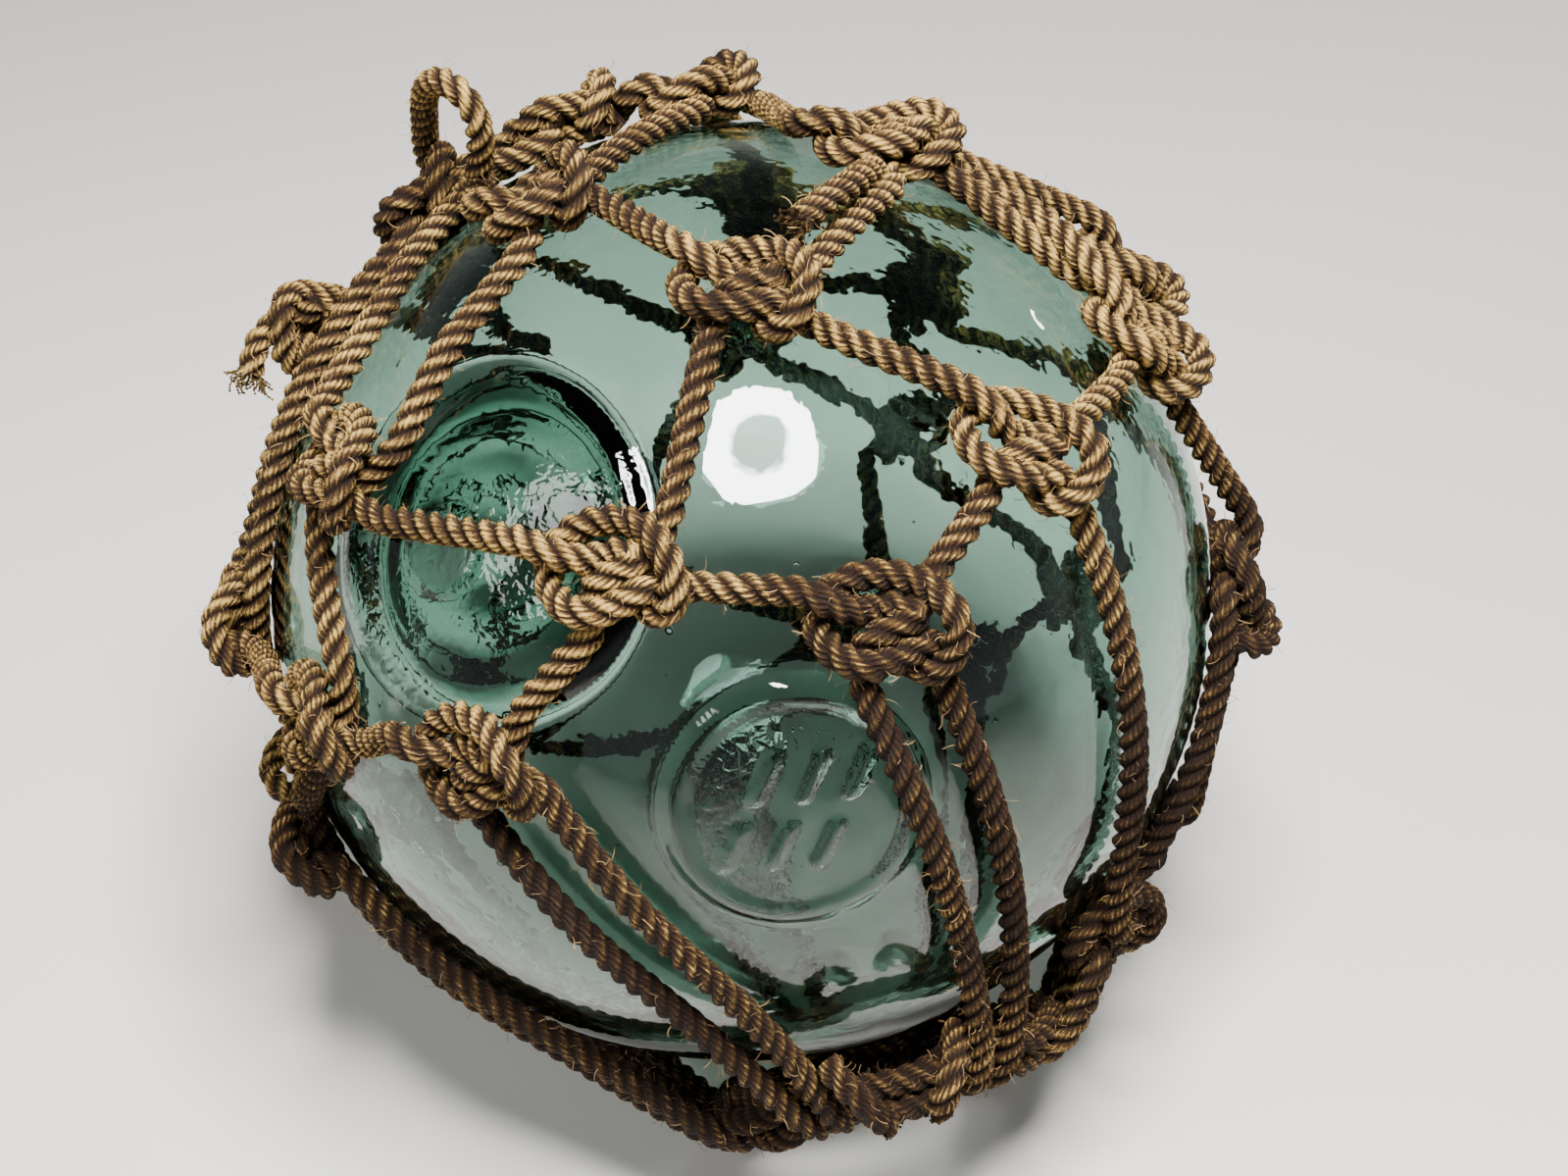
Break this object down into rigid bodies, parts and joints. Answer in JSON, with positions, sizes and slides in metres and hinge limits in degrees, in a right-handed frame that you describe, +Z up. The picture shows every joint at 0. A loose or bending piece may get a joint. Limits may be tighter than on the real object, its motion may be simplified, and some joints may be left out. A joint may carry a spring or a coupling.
{
  "type": "glass float ball",
  "caption": "Blown glass fishing float, a sealed ball with a seal button and a pressed disc, held in a knotted rope net with a rope foot ring and a hanging loop",
  "frame": {"origin": "on the plane the float lies on, under the middle of the bounding box", "axes": "+Z up, -Y front (the side with the seal button and the pressed disc); the net's lower pole leans 49 degrees forwards"},
  "size_m": [0.344, 0.3438, 0.3368],
  "materials": {
    "glass": "thick blown blue-green glass, glossy, see-through",
    "net_rope": "three-strand laid natural fibre rope, weathered brown",
    "ring_rope": "three-strand laid natural fibre rope, darker brown",
    "loop_rope": "three-strand laid natural fibre rope, pale brown"
  },
  "bodies": {
    "root": {"glass_ball": "glass", "rope_net": "net_rope", "foot_ring": "ring_rope", "hanging_loop": "loop_rope"}
  },
  "joints": []
}
